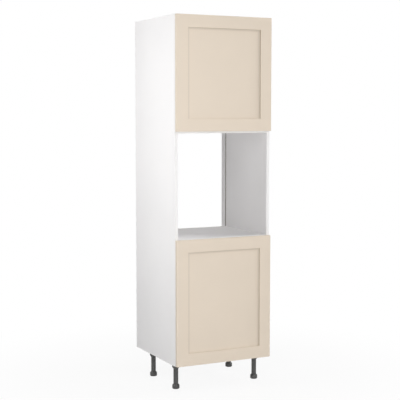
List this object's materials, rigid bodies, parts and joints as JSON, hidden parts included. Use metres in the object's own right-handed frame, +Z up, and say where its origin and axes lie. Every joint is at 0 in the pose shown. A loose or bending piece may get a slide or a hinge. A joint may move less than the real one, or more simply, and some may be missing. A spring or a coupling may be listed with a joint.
{
  "type": "tall oven housing cabinet",
  "caption": "Tall kitchen cabinet on adjustable legs, with an open niche for a built-in oven between an upper and a lower cupboard, each with a frame-and-panel door.",
  "frame": {"origin": "on the floor, under the middle of the overall bounding box in X and Y", "axes": "+X across to the right as seen from the doors, +Y from the doors towards the wall, +Z up"},
  "size_m": [0.6, 0.5814, 2.11],
  "materials": {
    "white_melamine": "white melamine-faced board, satin",
    "door_paint": "smooth cream paint, satin",
    "bare_wood": "bare beech, fluted",
    "plated_steel": "zinc-plated",
    "hinge_steel": "nickel-plated pressed steel",
    "cast_zinc": "cast zinc, dull",
    "dark_plastic": "moulded, slightly glossy",
    "buffer_plastic": "soft translucent plastic"
  },
  "bodies": {
    "cabinet": {"side_panel_left": "white_melamine", "side_panel_right": "white_melamine", "top_panel": "white_melamine", "base_panel": "white_melamine", "oven_shelf": "white_melamine", "upper_fixed_shelf": "white_melamine", "back_panel_lower": "white_melamine", "back_panel_upper": "white_melamine", "adjustable_shelf_lower": "white_melamine", "adjustable_shelf_upper": "white_melamine", "shelf_pins": "plated_steel", "wood_dowels": "bare_wood", "cam_bolts": "plated_steel", "cam_nuts": "cast_zinc", "hinge_plates": "hinge_steel", "plate_screws": "plated_steel", "hinge_arms": "hinge_steel", "arm_pins": "plated_steel", "arm_screws": "plated_steel", "wall_brackets": "plated_steel", "bracket_screws": "plated_steel", "leg_sockets": "dark_plastic", "leg_tubes": "dark_plastic", "leg_inserts": "dark_plastic"},
    "lower_levers": {"lower_hinge_levers": "hinge_steel"},
    "lower_door": {"lower_stile_left": "door_paint", "lower_stile_right": "door_paint", "lower_rail_top": "door_paint", "lower_rail_bottom": "door_paint", "lower_door_panel": "door_paint", "lower_hinge_cups": "hinge_steel", "lower_cup_pins": "plated_steel", "lower_cup_screws": "plated_steel", "lower_door_buffers": "buffer_plastic"},
    "upper_levers": {"upper_hinge_levers": "hinge_steel"},
    "upper_door": {"upper_stile_left": "door_paint", "upper_stile_right": "door_paint", "upper_rail_top": "door_paint", "upper_rail_bottom": "door_paint", "upper_door_panel": "door_paint", "upper_hinge_cups": "hinge_steel", "upper_cup_pins": "plated_steel", "upper_cup_screws": "plated_steel", "upper_door_buffers": "buffer_plastic"},
    "foot_front_left": {"foot_front_left": "dark_plastic", "stem_front_left": "plated_steel"},
    "foot_front_right": {"foot_front_right": "dark_plastic", "stem_front_right": "plated_steel"},
    "foot_rear_left": {"foot_rear_left": "dark_plastic", "stem_rear_left": "plated_steel"},
    "foot_rear_right": {"foot_rear_right": "dark_plastic", "stem_rear_right": "plated_steel"}
  },
  "joints": [
    {"name": "lower_lever_turn", "type": "hinge", "parent": "cabinet", "child": "lower_levers", "pos_m": [0.262, -0.26025, 0.51], "axis": [0, 0, 1], "range_deg": [-35, 0]},
    {"name": "lower_door_turn", "type": "hinge", "parent": "lower_levers", "child": "lower_door", "pos_m": [0.288, -0.27625, 0.51], "axis": [0, 0, 1], "range_deg": [0, 140]},
    {"name": "upper_lever_turn", "type": "hinge", "parent": "cabinet", "child": "upper_levers", "pos_m": [0.262, -0.26025, 1.7885], "axis": [0, 0, 1], "range_deg": [-35, 0]},
    {"name": "upper_door_turn", "type": "hinge", "parent": "upper_levers", "child": "upper_door", "pos_m": [0.288, -0.27625, 1.7885], "axis": [0, 0, 1], "range_deg": [0, 140]},
    {"name": "foot_front_left_screw", "type": "slide", "parent": "cabinet", "child": "foot_front_left", "axis": [0, 0, 1], "range_m": [-0.03, 0.015]},
    {"name": "foot_front_right_screw", "type": "slide", "parent": "cabinet", "child": "foot_front_right", "axis": [0, 0, 1], "range_m": [-0.03, 0.015]},
    {"name": "foot_rear_left_screw", "type": "slide", "parent": "cabinet", "child": "foot_rear_left", "axis": [0, 0, 1], "range_m": [-0.03, 0.015]},
    {"name": "foot_rear_right_screw", "type": "slide", "parent": "cabinet", "child": "foot_rear_right", "axis": [0, 0, 1], "range_m": [-0.03, 0.015]}
  ],
  "couplings": [
    {"joint": "lower_lever_turn", "follows": "lower_door_turn", "ratio": -0.25},
    {"joint": "upper_lever_turn", "follows": "upper_door_turn", "ratio": -0.25}
  ]
}
